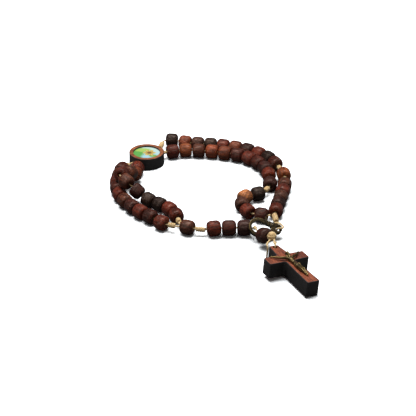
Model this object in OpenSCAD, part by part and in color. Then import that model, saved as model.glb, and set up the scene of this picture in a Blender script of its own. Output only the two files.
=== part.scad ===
// Rosary bracelet of dark wooden beads on a waxed cord, lying closed on a table.
// Millimetres, +Z up, table at z = 0, origin in the middle of the outline.
// The cross lies at the front right, the round medallion at the back left.

/* [Beads] */
// Diameter of a bead
bead_d = 5.8; // [5.7:0.05:5.8]
// Length of a bead along its thread
bead_l = 5.05; // [5:0.05:5.1]
// Diameter of the larger beads at the tail
tail_bead_d = 6.1; // [5.9:0.05:6.1]
// Length of the beads at the tail
tail_bead_l = 5.5; // [5.3:0.05:5.5]
// Rounding of a bead's shoulders across the thread
bead_round = 1.3; // [1.3:0.1:1.7]
// Rounding of a bead's shoulders along the thread
bead_shoulder = 1.6; // [1.6:0.1:2.3]
// Bore of a bead
bead_bore = 1.5; // [1.4:0.05:1.6]
// Width of a bore's flared mouth
bead_mouth = 2.2; // [2:0.05:2.25]

/* [Cord] */
// Diameter of the waxed cord
cord_d = 0.7; // [0.6:0.05:0.75]
// Diameter of the cord that loops through the cross and the clasp
loop_d = 0.8; // [0.7:0.05:0.8]
// Diameter over the ribs of a barrel knot
knot_d = 2.3; // [2:0.05:2.3]

/* [Medallion] */
// Diameter of the wooden disc
medallion_d = 14.4; // [14:0.1:14.8]
// Thickness of the wooden disc
medallion_t = 5.2; // [5:0.1:5.4]
// Diameter of the recess that holds the picture
recess_d = 11.1; // [10.6:0.1:11.4]
// Depth of the picture's face below the rim
picture_sink = 0.6; // [0.4:0.1:0.8]
// Thickness of the picture disc
picture_t = 0.5; // [0.4:0.1:0.6]

/* [Cross] */
// Thickness of the wooden cross
cross_t = 6; // [5.8:0.1:6]
// From the middle of the arms to the top end
cross_head = 9.4; // [9.2:0.1:9.6]
// From the middle of the arms to the foot
cross_foot = 18.5; // [18:0.1:19]
// From the middle of the arms to one arm's end
cross_arm = 8.3; // [8:0.1:8.5]
// Hole for the cord in the top end
cross_hole = 1.7; // [1.6:0.05:1.8]

/* [Clasp] */
// Thickness of the clasp
clasp_t = 2; // [1.8:0.1:2]
// Outside radius of the hook
hook_r = 3.6; // [3.5:0.05:3.6]
// Inside radius of the hook
mouth_r = 2.5; // [2.5:0.05:2.6]
// Gap between the closed lever and the tip of the hook
lever_gap = 0.15; // [0.1:0.05:0.25]

/* [Hidden] */
$fn = 48;

wood = [0.36, 0.16, 0.11];
dark_wood = [0.16, 0.10, 0.09];
cord_colour = [0.82, 0.70, 0.50];
bronze = [0.38, 0.33, 0.20];

// Routes of the five strands, each by hand-set points on the table that a smooth curve runs through
route_right_back = [[-21, 49.5, 2.6], [-20.7, 53.5, 2.9], [-19.4, 57.8, 3], [-15.8, 58.9, 3],
    [-9.5, 56.8, 3], [-5, 55.8, 3], [5.5, 53.8, 3], [15.5, 50, 3], [22.7, 44.6, 3], [26.6, 38.5, 3],
    [29.8, 29.6, 3], [30.2, 20, 3], [28.5, 10.5, 3], [25.9, -1.5, 3], [25.2, -8, 3]];
route_right_front = [[-19.5, 46.5, 2.6], [-17, 47.8, 3], [-14.4, 48.4, 3], [-9.4, 49.5, 3],
    [-4, 49.1, 3], [1.4, 48.3, 3], [6.6, 46.9, 3], [11.6, 45.2, 3], [16.2, 42.3, 3], [19.8, 38.3, 3],
    [22.4, 33.7, 3], [23.9, 28.5, 3], [24.3, 20, 3], [22.3, 13.2, 3], [18, 10.9, 3], [13.6, 8.2, 3],
    [12.9, 1.6, 3], [16.2, -4.2, 3], [21.6, -6.1, 3], [24.5, -7.3, 3]];
route_left_outer = [[-8.5, -15.5, 3], [-13, -14, 3], [-18, -12, 3], [-22.8, -6.9, 3], [-27.6, -2.2, 3],
    [-33.6, 6.5, 3], [-36.2, 14, 3], [-37, 21, 3], [-36.5, 27, 3], [-35.5, 32.5, 3], [-31.5, 38.5, 2.6]];
route_left_inner = [[-8.5, -15.2, 3], [-12.1, -9.2, 3], [-13.3, -4.2, 3], [-17, 0.8, 3],
    [-23.6, 5.9, 3.2], [-27.8, 8.9, 5], [-32, 10.6, 8.4], [-35.1, 16.3, 8.9], [-31.5, 22.5, 6.5],
    [-29.7, 28, 3.3], [-29.3, 33.5, 3.1], [-28.8, 36.8, 2.9]];
route_tail = [[-8.5, -15.2, 3], [-5.5, -16.5, 3], [-2.4, -17, 2.5], [0.8, -16.6, 3.15],
    [7.5, -16.1, 3.15], [18.6, -16, 3.15]];

// Middles and leanings of the pieces that have a place of their own
medallion_at = [-25.8, 43.6, 0];
cross_at = [27.5, -44.5, 0.8];
cross_turn = [-5.4, 1, -61];
clasp_at = [18.35, -19, 4.9];
clasp_turn = [38, 8, 6];
pendant_at = [20.6, -25, 4.8];
pendant_way = [0.58, -0.74, 0.36];

// A smooth curve through the route points, and its length up to each of its steps
steps = 16;
function bend(a, b, c, d, t) =
    (2*b + (c - a)*t + (2*a - 5*b + 4*c - d)*t*t + (3*b - a - 3*c + d)*t*t*t) / 2;
function curve(p, n = steps) = concat([for (i = [0:len(p) - 2]) for (k = [0:n - 1])
    bend(i > 0 ? p[i - 1] : 2*p[0] - p[1], p[i], p[i + 1],
        i + 2 < len(p) ? p[i + 2] : 2*p[i + 1] - p[i], k/n)], [p[len(p) - 1]]);
function lengths(c) = [for (i = 0, s = 0; i < len(c);
    s = i + 1 < len(c) ? s + norm(c[i + 1] - c[i]) : s, i = i + 1) s];
function strand(p) = let (c = curve([for (q = p) q + [0, 0, bead_d/2 - 3]]), l = lengths(c))
    [for (k = [0:2]) [for (i = [0:len(c) - 1]) [l[i], c[i][k]]]];
function at(strand, s) = [for (k = [0:2]) lookup(s, strand[k])];
function way(strand, s) = unit(at(strand, s + 2.2) - at(strand, s - 2.2));
function unit(v) = v / norm(v);

right_back = strand(route_right_back);
right_front = strand(route_right_front);
left_outer = strand(route_left_outer);
left_inner = strand(route_left_inner);
tail = strand(route_tail);

// Where a run of beads sits: the strand, the first bead's distance, the pitch and the count
function run(strand, first, pitch, count) = [for (i = [0:count - 1])
    [at(strand, first + pitch*i), way(strand, first + pitch*i)]];
decade_right_back_at = concat(run(right_back, 12.6, 0, 1), run(right_back, 18.6, 5.42, 5),
    run(right_back, 45.7, 5.59, 4));
single_back_at = run(right_back, 72.9, 0, 1);
half_back_at = run(right_back, 81.7, 5.4, 5);
decade_right_front_at = concat(run(right_front, 4.7, 5.52, 6), run(right_front, 37.9, 5.6, 4));
single_front_at = run(right_front, 62.6, 0, 1);
half_front_at = concat(run(right_front, 73.1, 5.85, 2), run(right_front, 85.2, 6, 2),
    run(right_front, 97.4, 0, 1));
decade_left_outer_at = concat(run(left_outer, 10.5, 0, 1), run(left_outer, 17, 5.5, 8),
    run(left_outer, 61.15, 0, 1));
decade_left_inner_at = concat(run(left_inner, 10.1, 5.9, 2), run(left_inner, 21.55, 5.5, 2),
    run(left_inner, 33, 6, 2), run(left_inner, 46.1, 5.9, 4));
joint_at = run(tail, 0.2, 0, 1);
tail_at = run(tail, 10.7, 5.8, 3);
pendant_bead_at = [[pendant_at, unit(pendant_way)]];

// A point given in the clasp's own plane, and one given on the cross, as points of the whole part
function turned(p, r) = let (
    a = [p.x, p.y*cos(r.x) - p.z*sin(r.x), p.y*sin(r.x) + p.z*cos(r.x)],
    b = [a.x*cos(r.y) + a.z*sin(r.y), a.y, a.z*cos(r.y) - a.x*sin(r.y)])
    [b.x*cos(r.z) - b.y*sin(r.z), b.x*sin(r.z) + b.y*cos(r.z), b.z];
function on_clasp(p) = clasp_at + turned(p, clasp_turn);
function on_cross(p) = cross_at + turned(p, cross_turn);

// Where the thread bends inside the two mouths of each bore, and the first and last of these
function ends(run, l = bead_l) = [for (b = run) for (s = [-1, 1]) b[0] + b[1]*s*(l/2 - 0.4)];
function first_end(run) = ends(run)[0];
function last_end(run) = ends(run)[2*len(run) - 1];

joint_out = [for (s = [-1, 1]) joint_at[0][0] - joint_at[0][1]*1.2 + [0.28, 0.96, 0]*s*0.42];
joint_face = [for (s = [-1, 1]) joint_at[0][0] - joint_at[0][1]*2.8 + [0.28, 0.96, 0]*s*0.42];
path_right_back = concat([[-21.5, 48.5, 2.6], [-20.9, 50.2, 2.7], [-19.4, 57.7, 2.9]],
    ends(decade_right_back_at), ends(single_back_at), ends(half_back_at), [[25.05, -5.1, 3.05]]);
path_right_front = concat([[-20, 46.3, 2.6], [-19, 46.8, 2.7], [-18.1, 48.4, 3]],
    ends(decade_right_front_at), ends(single_front_at), ends(half_front_at), [[23.5, -6.1, 3]]);
path_left_outer = concat([joint_out[0], joint_face[0], [-12.1, -14.9, 3]],
    ends(decade_left_outer_at), [[-32.6, 37.5, 2.7], [-30.9, 39.1, 2.6]]);
path_left_inner = concat([joint_out[1], joint_face[1], [-11.3, -12.9, 3]],
    ends(decade_left_inner_at), [[-28.6, 37.3, 2.8]]);
path_tail = concat([joint_at[0][0] - joint_at[0][1]*0.6, joint_at[0][0] + joint_at[0][1]*2.3,
    at(tail, 3.5), at(tail, 7.5)], ends(tail_at, tail_bead_l),
    [for (p = [[-1.4, 1.1, -3.35], [-1.2, 0.5, -1.9], [-1, -0.7, 0.9], [-0.5, -2.5, 1.75],
        [0.3, -3.72, 1.45]]) on_clasp(p)], ends(pendant_bead_at, tail_bead_l));

// The cord that ties the clasp on, through its eye, and the one through the cross
path_clasp_cord = concat([[25.2, -11.2, 2.4]], [for (p = [[8.6, 3.4, -2.2], [9.6, 1.3, 0.2],
    [9.3, -0.2, 1.5], [8.2, -0.4, 1.6], [7.4, -0.3, 0.9], [7.3, -0.3, -0.9], [7, 1, -1.9]])
    on_clasp(p)], [[25.9, -11.4, 2.2]]);
pendant_knot_at = pendant_at + unit(pendant_way)*4.65;
path_cross_cord = concat([pendant_knot_at + [0.83, -1.77, -0.41]], [for (p = [[-11.3, 1.8, 5.5],
    [-9.6, 1.1, 7], [-8.2, 0.1, 6.7], [-8.1, 0, 5.5], [-8.1, 0, 0.4], [-8.4, -0.7, -0.5],
    [-8.9, -1.9, -0.45], [-9.1, -2.4, 0.4], [-9.2, -2.4, 3], [-9.4, -2.4, 5.6],
    [-10.6, -2, 6.3]]) on_cross(p)], [pendant_knot_at + [-0.78, -1.7, -0.66]]);

// A round cord along a list of points, with eight sides, its frame carried from ring to ring
function tangents(p) = [for (i = [0:len(p) - 1])
    unit(unit(p[min(i + 1, len(p) - 1)] - p[max(i - 1, 0)] + [0, 0, 0.0001])
        + (i > 0 ? unit(p[i] - p[i - 1]) : [0, 0, 0]) + (i < len(p) - 1 ? unit(p[i + 1] - p[i]) : [0, 0, 0]))];
function carried(t, n, i) = i == len(t) ? [] :
    let (m = unit(n - t[i]*(n*t[i]))) concat([m], carried(t, m, i + 1));
module tube(p, d) {
    t = tangents(p);
    n = carried(t, abs(t[0].z) < 0.9 ? [0, 0, 1] : [1, 0, 0], 0);
    ring = [for (k = [0:7]) 45*k];
    points = [for (i = [0:len(p) - 1]) for (a = ring)
        p[i] + (n[i]*cos(a) + cross(t[i], n[i])*sin(a))*d/2];
    last = 8*(len(p) - 1);
    polyhedron(points, concat([[for (k = [0:7]) k]],
        [for (i = [0:len(p) - 2]) for (k = [0:7]) each [
            [8*i + k, 8*i + k + 8, 8*i + (k + 1)%8],
            [8*i + (k + 1)%8, 8*i + k + 8, 8*i + (k + 1)%8 + 8]]],
        [[for (k = [7:-1:0]) last + k]]), 4);
}

// Turns a child that stands along Z to lie along a direction
module along(place, direction) {
    translate(place) rotate([0, acos(direction.z), atan2(direction.y, direction.x)]) children();
}

// Half of a bead's outline: flared mouth, flat end, rounded shoulder, straight belly
module bead_outline(bore, l, d, shoulder, across) {
    r = d/2 - across;
    h = l/2 - shoulder;
    turn = [0, 22.5, 45, 67.5, 90];
    polygon(concat([[bore/2, 0.5 - l/2], [bead_mouth/2, -l/2]],
        [for (a = turn) [r + across*sin(a), -h - shoulder*cos(a)]],
        [for (a = turn) [r + across*cos(a), h + shoulder*sin(a)]],
        [[bead_mouth/2, l/2], [bore/2, l/2 - 0.5]]));
}
module beads(run, bore = bead_bore, l = bead_l, d = bead_d, shoulder = bead_shoulder,
        across = bead_round) {
    for (b = run) along(b[0], b[1]) rotate_extrude() bead_outline(bore, l, d, shoulder, across);
}

// A barrel knot: the cord wound side by side, bored for the cord that runs through it
module barrel_knot(length, d) {
    turns = floor(length/0.68);
    rise = length/turns;
    rotate_extrude() difference() {
        union() {
            translate([0, -length/2 + 0.15]) square([d/2 - 0.2, length - 0.3]);
            for (i = [0:turns - 1]) translate([d/2 - 0.35, -length/2 + rise*(i + 0.5)]) circle(0.34, $fn = 24);
        }
        translate([-1, -length]) square([1 + cord_d/2 + 0.08, 2*length]);
    }
}
module knot_between(a, b, length, d = knot_d) {
    along((a + b)/2, unit(b - a)) barrel_knot(length, d);
}

// Round wooden disc with a recess for the picture and four blind holes for the cords
module medallion() {
    hub = medallion_at + [0, 0, 2.6];
    color(wood) difference() {
        translate(medallion_at) cylinder(d = medallion_d, h = medallion_t);
        translate(medallion_at + [0, 0, medallion_t - picture_sink - picture_t])
            cylinder(d = recess_d, h = 2);
        for (p = [path_right_back[0], path_right_front[0], path_left_outer[len(path_left_outer) - 1],
            path_left_inner[len(path_left_inner) - 1]])
            along(hub, unit([p.x - hub.x, p.y - hub.y, 0])) translate([0, 0, 5.9])
                cylinder(d = 1.3, h = 3, $fn = 24);
    }
}
module medallion_picture() {
    color([0.62, 0.80, 0.72])
        translate(medallion_at + [0, 0, medallion_t - picture_sink - picture_t])
        cylinder(d = recess_d - 0.04, h = picture_t);
}

// Cross in its own frame: +X from the middle to the foot, +Y to the right arm, +Z up
module cross_outline() {
    polygon([[cross_foot, -2.6], [cross_foot, 2.6], [2.9, 1.9], [2.5, 2.5], [2.4, cross_arm],
        [-2.4, cross_arm], [-2.5, 3], [-3, 2.5], [-cross_head, 1.8], [-cross_head, -1.8],
        [-3, -2.5], [-2.5, -3], [-2.4, -cross_arm], [2.4, -cross_arm], [2.5, -2.5], [2.9, -1.9]]);
}
module cross() {
    color(wood) translate(cross_at) rotate(cross_turn) difference() {
        linear_extrude(cross_t) cross_outline();
        translate([-8.1, 0, -1]) cylinder(d = cross_hole, h = cross_t + 2);
    }
}

// One limb of the figure, thick end first
module limb(a, b, r1, r2) {
    hull() {
        translate(a) sphere(r1, $fn = 12);
        translate(b) sphere(r2, $fn = 12);
    }
}
// Cast figure with its back flat on the wood
module corpus() {
    color(bronze) translate(cross_at) rotate(cross_turn) intersection() {
        union() {
            limb([2.3, 0, 6.8], [5, 0, 6.6], 1, 0.8);
            limb([5.2, 0, 6.6], [7.6, 0, 6.6], 0.9, 0.95);
            translate([0.1, 0, 7.1]) scale([0.98, 0.82, 0.85]) sphere(1, $fn = 12);
            limb([0.6, 0, 6.9], [2.2, 0, 6.8], 0.55, 0.6);
            for (s = [-1, 1]) {
                limb([2.1, s*0.9, 6.8], [0.8, s*3.6, 6.6], 0.52, 0.4);
                limb([0.8, s*3.6, 6.6], [-1.3, s*5.6, 6.35], 0.4, 0.36);
                limb([8, s*0.45, 6.6], [11, s*0.4, 6.7], 0.62, 0.52);
                limb([11, s*0.4, 6.7], [13.6, s*0.25, 6.4], 0.5, 0.36);
            }
            limb([13.6, 0, 6.4], [14.5, 0, 6.3], 0.5, 0.4);
        }
        translate([-5, -10, cross_t]) cube([30, 20, 10]);
    }
}

// Clasp in its own plane: hook round the origin, eye towards +X, lever on the +Y side
eye = [7.4, -0.3];
eye_r = 1.85;
slit = [4.3, -0.15];
slit_r = 0.75;
pivot = [5.5, 0.9];
cheek_r = 1;
// Outline round two circles and the straight lines that touch both
function drop(r1, c, r2) = let (t = atan2(c.y, c.x), w = acos((r1 - r2)/norm(c))) concat(
    [for (i = [0:20]) let (a = t + w + (360 - 2*w)*i/20) [cos(a), sin(a)]*r1],
    [for (i = [0:12]) let (a = t - w + 2*w*i/12) c + [cos(a), sin(a)]*r2]);
module teardrop(r1, c, r2) { polygon(drop(r1, c, r2)); }
// The far arm's zone, from the tip of the hook to the pivot
module lever_zone(gap) {
    tip = [0.8, -0.6]*gap;
    polygon([[1, 1.5] + tip, [2.65, 3.7] + tip, [5.5, 3.6], pivot, [4.7, 0.1], [3, 0.3]]);
}
module clasp_body() {
    color(bronze) translate(clasp_at) rotate(clasp_turn) difference() {
        translate([0, 0, -clasp_t/2]) linear_extrude(clasp_t) difference() {
            union() {
                difference() {
                    teardrop(hook_r, eye, eye_r);
                    lever_zone(0);
                }
                translate(pivot) circle(cheek_r);
            }
            teardrop(mouth_r, slit, slit_r);
            translate(eye) circle(1);
        }
        difference() {
            translate([pivot.x, pivot.y, -0.5]) cylinder(r = cheek_r + 0.05, h = 1);
            translate([pivot.x, pivot.y, -1]) cylinder(r = 0.35, h = 2, $fn = 24);
        }
    }
}
module clasp_lever() {
    color(bronze) translate(clasp_at) rotate(clasp_turn) {
        difference() {
            union() {
                translate([0, 0, 0.1 - clasp_t/2]) linear_extrude(clasp_t - 0.2) difference() {
                    intersection() {
                        teardrop(hook_r, eye, eye_r);
                        lever_zone(lever_gap);
                    }
                    teardrop(mouth_r, slit, slit_r);
                    translate(pivot) circle(cheek_r + 0.15);
                }
                translate([2.85, 2.4, -0.5]) cube([0.7, 1.7, 1]);
                translate([3.2, 4.1, -0.5]) cylinder(r = 0.5, h = 1, $fn = 24);
                translate([pivot.x, pivot.y, -0.4]) cylinder(r = cheek_r - 0.1, h = 0.8);
                translate([0, 0, -0.4]) linear_extrude(0.8)
                    polygon([[5.6, 1.75], [4.2, 2.15], [3.9, 1.15], [5.2, 0.3]]);
            }
            translate([pivot.x, pivot.y, -2]) cylinder(r = 0.42, h = 4, $fn = 24);
        }
    }
}

module decade_right_back() { color(wood) beads(decade_right_back_at); }
module decade_right_front() { color(wood) beads(decade_right_front_at); }
module decade_left_outer() { color(wood) beads(decade_left_outer_at); }
module decade_left_inner() { color(wood) beads(decade_left_inner_at); }
module half_decade_back() { color(wood) beads(half_back_at); }
module half_decade_front() { color(wood) beads(half_front_at); }
module tail_beads() { color(wood) beads(tail_at, bead_bore, tail_bead_l, tail_bead_d, 1.8, 1.6); }
module single_bead_back() { color(wood) beads(single_back_at); }
module single_bead_front() { color(dark_wood) beads(single_front_at); }
module joint_bead() { color(wood) beads(joint_at, 1.8, tail_bead_l, bead_d, 1.8, 1.6); }
module pendant_bead() { color(dark_wood) beads(pendant_bead_at, bead_bore, tail_bead_l, tail_bead_d, 1.8, 1.7); }

module thread_right_back() { color(cord_colour) tube(path_right_back, cord_d); }
module thread_right_front() { color(cord_colour) tube(path_right_front, cord_d); }
module thread_left_outer() { color(cord_colour) tube(path_left_outer, cord_d); }
module thread_left_inner() { color(cord_colour) tube(path_left_inner, cord_d); }
module thread_tail() { color(cord_colour) tube(path_tail, cord_d); }
module cross_cord() { color(cord_colour) tube(curve(path_cross_cord, 5), loop_d); }
module clasp_cord() { color(cord_colour) tube(curve(path_clasp_cord, 6), loop_d); }

// Barrel knots that keep the beads in their groups
module knots_right_back() {
    color(cord_colour) {
        knot_between(path_right_back[1], path_right_back[2], 5.4);
        knot_between(last_end(decade_right_back_at), first_end(single_back_at), 4.6);
        knot_between(last_end(single_back_at), first_end(half_back_at), 3.2);
    }
}
module knots_right_front() {
    color(cord_colour) {
        knot_between(path_right_front[1], path_right_front[2], 1.3, 1.8);
        knot_between(last_end(decade_right_front_at), first_end(single_front_at), 2.8);
        knot_between(last_end(single_front_at), first_end(half_front_at), 3.8);
    }
}
module knots_left_outer() {
    n = len(path_left_outer);
    color(cord_colour) {
        knot_between(path_left_outer[2], path_left_outer[3], 3.6);
        knot_between(path_left_outer[n - 3], path_left_outer[n - 2], 2.3);
    }
}
module knots_left_inner() {
    color(cord_colour) knot_between(path_left_inner[2], path_left_inner[3], 3.1);
}
module knots_tail() {
    color(cord_colour) {
        knot_between(at(tail, 3.5), at(tail, 7.5), 4.5);
        knot_between(on_clasp([-1.2, 0.5, -1.9]), on_clasp([-1, -0.7, 0.9]), 2.2, 1.8);
    }
}
// Round knot between the last bead and the loop of the cross
module pendant_knot() {
    color(cord_colour) along(pendant_knot_at, unit(pendant_way)) difference() {
        sphere(1.85);
        translate([0, 0, -3]) cylinder(d = cord_d + 0.16, h = 3, $fn = 24);
    }
}
// Long knot that gathers two strands where the clasp is tied on
module clasp_knot() {
    color(cord_colour) along([25.3, -8.2, 2.85], unit([0.6, -4.3, -0.6])) barrel_knot(5.2, 2.5);
}

medallion();
medallion_picture();
cross();
corpus();
clasp_body();
clasp_lever();
decade_right_back();
decade_right_front();
decade_left_outer();
decade_left_inner();
half_decade_back();
half_decade_front();
tail_beads();
single_bead_back();
single_bead_front();
joint_bead();
pendant_bead();
thread_right_back();
thread_right_front();
thread_left_outer();
thread_left_inner();
thread_tail();
cross_cord();
clasp_cord();
knots_right_back();
knots_right_front();
knots_left_outer();
knots_left_inner();
knots_tail();
pendant_knot();
clasp_knot();
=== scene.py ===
import math
import random

import bmesh
import bpy
from mathutils import Euler, Matrix, Vector


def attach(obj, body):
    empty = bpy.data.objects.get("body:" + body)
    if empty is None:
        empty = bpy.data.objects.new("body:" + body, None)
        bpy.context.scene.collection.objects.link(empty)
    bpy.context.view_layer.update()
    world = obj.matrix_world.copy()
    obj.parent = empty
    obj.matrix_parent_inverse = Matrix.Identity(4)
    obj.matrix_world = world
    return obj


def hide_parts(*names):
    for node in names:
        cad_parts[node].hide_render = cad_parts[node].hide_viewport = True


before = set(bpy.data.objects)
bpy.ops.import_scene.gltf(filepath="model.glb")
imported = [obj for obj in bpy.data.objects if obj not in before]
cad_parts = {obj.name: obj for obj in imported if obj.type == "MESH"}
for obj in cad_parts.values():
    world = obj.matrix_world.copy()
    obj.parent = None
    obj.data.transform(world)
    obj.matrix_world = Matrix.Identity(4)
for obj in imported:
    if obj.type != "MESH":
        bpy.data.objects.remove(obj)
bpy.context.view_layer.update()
print("frame loaded")

# Everything is modelled in millimetres and brought to metres when a piece is finished.
metre = 1000


def clearSelection():
    if bpy.context.object and bpy.context.object.mode != "OBJECT":
        bpy.ops.object.mode_set(mode="OBJECT")
    bpy.ops.object.select_all(action="DESELECT")


def makeActive(obj):
    clearSelection()
    obj.select_set(True)
    bpy.context.view_layer.objects.active = obj


def pick(obj, kind, test):
    bpy.ops.mesh.select_mode(type=kind)
    mesh = bmesh.from_edit_mesh(obj.data)
    for group in (mesh.faces, mesh.edges, mesh.verts):
        for item in group:
            item.select_set(False)
    for item in {"VERT": mesh.verts, "EDGE": mesh.edges, "FACE": mesh.faces}[kind]:
        if test(item):
            item.select_set(True)
    bmesh.update_edit_mesh(obj.data)


def joinPieces(objs):
    clearSelection()
    for o in objs:
        o.select_set(True)
    bpy.context.view_layer.objects.active = objs[0]
    if len(objs) > 1:
        bpy.ops.object.join()
    return bpy.context.object


def applyModifier(obj, kind, **settings):
    makeActive(obj)
    mod = obj.modifiers.new(kind.lower(), kind)
    for key, value in settings.items():
        setattr(mod, key, value)
    bpy.ops.object.modifier_apply(modifier=mod.name)


def smoothShade(obj, degrees):
    makeActive(obj)
    bpy.ops.object.shade_smooth_by_angle(angle=math.radians(degrees))


def finishPiece(obj, name, nodes, material, body="bracelet"):
    makeActive(obj)
    bpy.ops.object.transform_apply(location=True, rotation=True, scale=True)
    obj.data.transform(Matrix.Scale(1 / metre, 4))
    obj.name = obj.data.name = name
    obj.data.materials.clear()
    obj.data.materials.append(material)
    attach(obj, body)
    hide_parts(*nodes)


def srgb(r, g, b):
    return tuple(((c / 255 + 0.055) / 1.055) ** 2.4 if c > 10 else c / 255 / 12.92 for c in (r, g, b))


# Routes of the strands, as the solids have them

def bend(a, b, c, d, t):
    return (2 * b + (c - a) * t + (2 * a - 5 * b + 4 * c - d) * t * t + (3 * b - a - 3 * c + d) * t ** 3) / 2


def curve(points):
    steps = 16
    p = [Vector(q) for q in points]
    out = []
    for i in range(len(p) - 1):
        before = p[i - 1] if i else 2 * p[0] - p[1]
        after = p[i + 2] if i + 2 < len(p) else 2 * p[i + 1] - p[i]
        out += [bend(before, p[i], p[i + 1], after, k / steps) for k in range(steps)]
    return out + [p[-1]]


# A route point without a height lies a bead's radius over the table
def strand(points):
    path = curve([(q[0], q[1], (q[2] if len(q) == 3 else 3) - 0.1) for q in points])
    lengths = [0]
    for a, b in zip(path, path[1:]):
        lengths.append(lengths[-1] + (b - a).length)
    return lengths, path


def at(line, s):
    lengths, path = line
    if s <= 0:
        return path[0]
    for i in range(1, len(path)):
        if s <= lengths[i]:
            return path[i - 1].lerp(path[i], (s - lengths[i - 1]) / (lengths[i] - lengths[i - 1]))
    return path[-1]


# A bead lies along the chord under it
def way(line, s):
    reach = 2.2
    return (at(line, s + reach) - at(line, s - reach)).normalized()


def run(line, first, pitch, count):
    return [(at(line, first + pitch * i), way(line, first + pitch * i)) for i in range(count)]


rightBack = strand([
    (-21, 49.5, 2.6), (-20.7, 53.5, 2.9), (-19.4, 57.8), (-15.8, 58.9), (-9.5, 56.8), (-5, 55.8), (5.5, 53.8),
    (15.5, 50), (22.7, 44.6), (26.6, 38.5), (29.8, 29.6), (30.2, 20), (28.5, 10.5), (25.9, -1.5), (25.2, -8)])
rightFront = strand([
    (-19.5, 46.5, 2.6), (-17, 47.8), (-14.4, 48.4), (-9.4, 49.5), (-4, 49.1), (1.4, 48.3), (6.6, 46.9),
    (11.6, 45.2), (16.2, 42.3), (19.8, 38.3), (22.4, 33.7), (23.9, 28.5), (24.3, 20), (22.3, 13.2),
    (18, 10.9), (13.6, 8.2), (12.9, 1.6), (16.2, -4.2), (21.6, -6.1), (24.5, -7.3)])
leftOuter = strand([
    (-8.5, -15.5), (-13, -14), (-18, -12), (-22.8, -6.9), (-27.6, -2.2), (-33.6, 6.5), (-36.2, 14), (-37, 21),
    (-36.5, 27), (-35.5, 32.5), (-31.5, 38.5, 2.6)])
leftInner = strand([
    (-8.5, -15.2), (-12.1, -9.2), (-13.3, -4.2), (-17, 0.8), (-23.6, 5.9, 3.2), (-27.8, 8.9, 5),
    (-32, 10.6, 8.4), (-35.1, 16.3, 8.9), (-31.5, 22.5, 6.5), (-29.7, 28, 3.3), (-29.3, 33.5, 3.1),
    (-28.8, 36.8, 2.9)])
tail = strand([
    (-8.5, -15.2), (-5.5, -16.5), (-2.4, -17, 2.5), (0.8, -16.6, 3.15), (7.5, -16.1, 3.15),
    (18.6, -16, 3.15)])

# Length, width, and the shoulder along and across the thread; most beads have the first row
beadSizes = {"all": (5.05, 5.8, 1.6, 1.3), "joint_bead": (5.5, 5.8, 1.8, 1.6),
             "tail_beads": (5.5, 6.1, 1.8, 1.6), "pendant_bead": (5.5, 6.1, 1.8, 1.7)}
pendantWay = Vector((0.58, -0.74, 0.36)).normalized()
pendantAt = Vector((20.6, -25, 4.8))
runs = {
    "decade_right_back": run(rightBack, 12.6, 0, 1) + run(rightBack, 18.6, 5.42, 5)
    + run(rightBack, 45.7, 5.59, 4),
    "single_bead_back": run(rightBack, 72.9, 0, 1),
    "half_decade_back": run(rightBack, 81.7, 5.4, 5),
    "decade_right_front": run(rightFront, 4.7, 5.52, 6) + run(rightFront, 37.9, 5.6, 4),
    "single_bead_front": run(rightFront, 62.6, 0, 1),
    "half_decade_front": run(rightFront, 73.1, 5.85, 2) + run(rightFront, 85.2, 6, 2)
    + run(rightFront, 97.4, 0, 1),
    "decade_left_outer": run(leftOuter, 10.5, 0, 1) + run(leftOuter, 17, 5.5, 8)
    + run(leftOuter, 61.15, 0, 1),
    "decade_left_inner": run(leftInner, 10.1, 5.9, 2) + run(leftInner, 21.55, 5.5, 2)
    + run(leftInner, 33, 6, 2) + run(leftInner, 46.1, 5.9, 4),
    "joint_bead": run(tail, 0.2, 0, 1),
    "tail_beads": run(tail, 10.7, 5.8, 3),
    "pendant_bead": [(pendantAt, pendantWay)],
}

claspPlace = (Matrix.Translation((18.35, -19, 4.9))
              @ Euler((math.radians(38), math.radians(8), math.radians(6))).to_matrix().to_4x4())
crossPlace = (Matrix.Translation((27.5, -44.5, 0.8))
              @ Euler((math.radians(-5.4), math.radians(1), math.radians(-61))).to_matrix().to_4x4())


# Floor, light and camera

eyePlace = (-0.0005, -0.538, 0.30035)
aimPlace = (-0.0005, 0.005, 0)
focalInWidths = 1581 / 416
sensorWidth = 36
softboxes = {
    "key_above": {"place": (-0.04, 0.1, 0.6), "size": (0.6, 0.4), "energy": 5.6},
    "fill_front": {"place": (0.1, -0.55, 0.5), "size": (0.4, 0.3), "energy": 0.14},
}


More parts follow.
